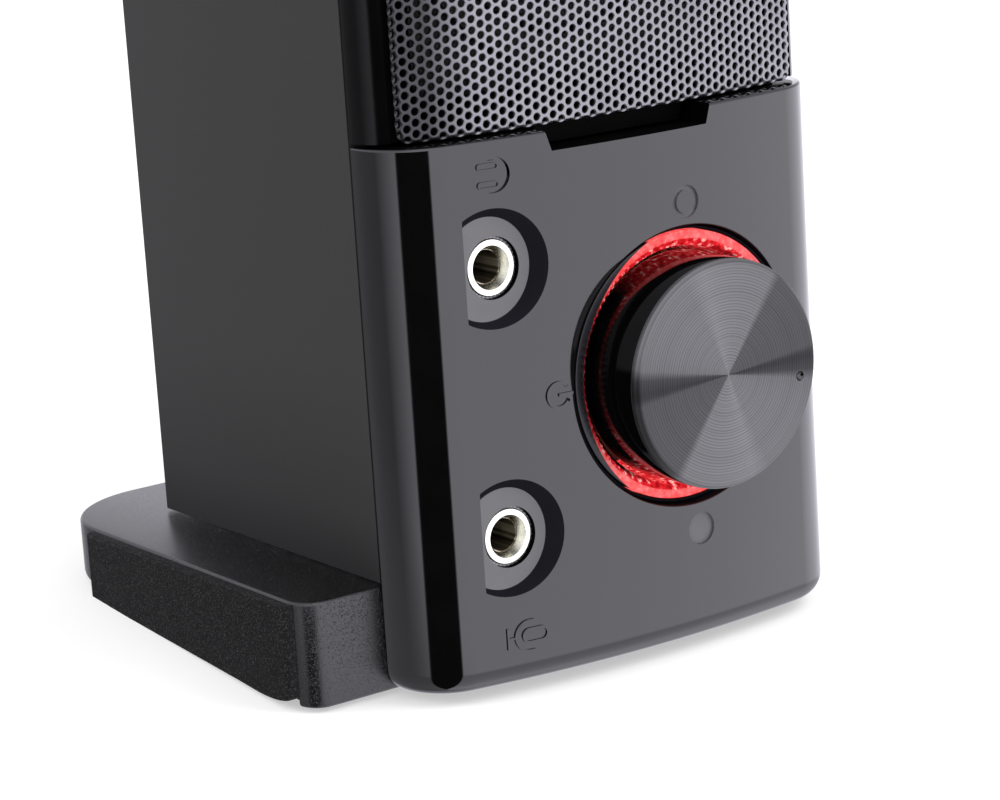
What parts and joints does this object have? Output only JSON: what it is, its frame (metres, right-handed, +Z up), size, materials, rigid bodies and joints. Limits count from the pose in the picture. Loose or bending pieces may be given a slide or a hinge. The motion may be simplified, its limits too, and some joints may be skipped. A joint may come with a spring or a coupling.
{
  "type": "desktop speaker",
  "caption": "Powered desktop speaker: slim cabinet leaning back on a wedge foot, perforated grille, control panel with sockets and a lit volume knob.",
  "frame": {"origin": "centre of the object’s bounding box on the desk, under the resting pads", "axes": "+X to the right seen from the front, +Y to the rear, +Z up; the cabinet leans back six degrees"},
  "size_m": [0.068, 0.079, 0.19],
  "materials": {
    "satin_black": "satin moulded black",
    "gloss_black": "high gloss black",
    "grille_steel": "black coated perforated steel with worn bright hole rims",
    "grained_black": "fine leather grain, satin",
    "pad_rubber": "speckled foam rubber",
    "spun_aluminium": "concentric spun, dark anodised",
    "nickel": "bright nickel",
    "red_lens": "red translucent light guide",
    "board_green": "solder mask",
    "steel": "zinc plated",
    "ferrite": "sintered grey-black",
    "paper_cone": "pressed pulp, black",
    "roll_rubber": "matt butyl",
    "amber_cloth": "impregnated cloth",
    "copper": "enamelled winding",
    "sleeve_blue": "shrink sleeve",
    "chip_black": "moulded black",
    "fin_aluminium": "extruded",
    "led_white": "moulded"
  },
  "bodies": {
    "speaker": {"cabinet_shell": "satin_black", "rear_plate": "satin_black", "grille_frame": "gloss_black", "grille_mesh": "grille_steel", "baffle": "satin_black", "control_panel": "gloss_black", "recess_bezel": "gloss_black", "light_ring": "red_lens", "volume_pot_body": "steel", "headphone_bushing": "nickel", "microphone_bushing": "nickel", "headphone_jack_body": "chip_black", "microphone_jack_body": "chip_black", "control_board": "board_green", "amplifier_board": "board_green", "filter_capacitor_left": "sleeve_blue", "filter_capacitor_right": "sleeve_blue", "amplifier_chip": "chip_black", "amplifier_heatsink": "fin_aluminium", "power_inlet": "chip_black", "line_in_socket": "chip_black", "link_socket": "chip_black", "driver_basket": "steel", "driver_gasket": "roll_rubber", "driver_top_plate": "steel", "driver_magnet": "ferrite", "driver_yoke": "steel", "driver_surround": "roll_rubber", "driver_spider": "amber_cloth", "radiator_frame": "satin_black", "radiator_surround": "roll_rubber", "base_body": "grained_black", "side_pad": "pad_rubber", "ring_led_1": "led_white", "rear_screw_1": "steel", "driver_screw_1": "steel", "foot_pad_1": "pad_rubber", "ring_led_2": "led_white", "rear_screw_2": "steel", "driver_screw_2": "steel", "foot_pad_2": "pad_rubber", "ring_led_3": "led_white", "rear_screw_3": "steel", "driver_screw_3": "steel", "foot_pad_3": "pad_rubber", "ring_led_4": "led_white", "rear_screw_4": "steel", "driver_screw_4": "steel", "foot_pad_4": "pad_rubber", "base_screw_1": "steel", "base_screw_2": "steel"},
    "volume_knob": {"knob_body": "gloss_black", "knob_cap": "spun_aluminium", "volume_pot_shaft": "steel"},
    "driver_cone_assembly": {"driver_cone": "paper_cone", "driver_dust_cap": "paper_cone", "driver_voice_coil": "copper"},
    "radiator_piston": {"radiator_diaphragm": "paper_cone"}
  },
  "joints": [
    {"name": "volume_turn", "type": "hinge", "parent": "speaker", "child": "volume_knob", "pos_m": [0.01165, -0.03179, 0.03219], "axis": [0, -0.9945, 0.1045], "range_deg": [-112, 188]},
    {"name": "cone_travel", "type": "slide", "parent": "speaker", "child": "driver_cone_assembly", "axis": [0, -0.9945, 0.1045], "range_m": [-0.001, 0.001], "stiffness_N_per_m": 600},
    {"name": "radiator_travel", "type": "slide", "parent": "speaker", "child": "radiator_piston", "axis": [0, -0.9945, 0.1045], "range_m": [-0.001, 0.001], "stiffness_N_per_m": 400}
  ]
}
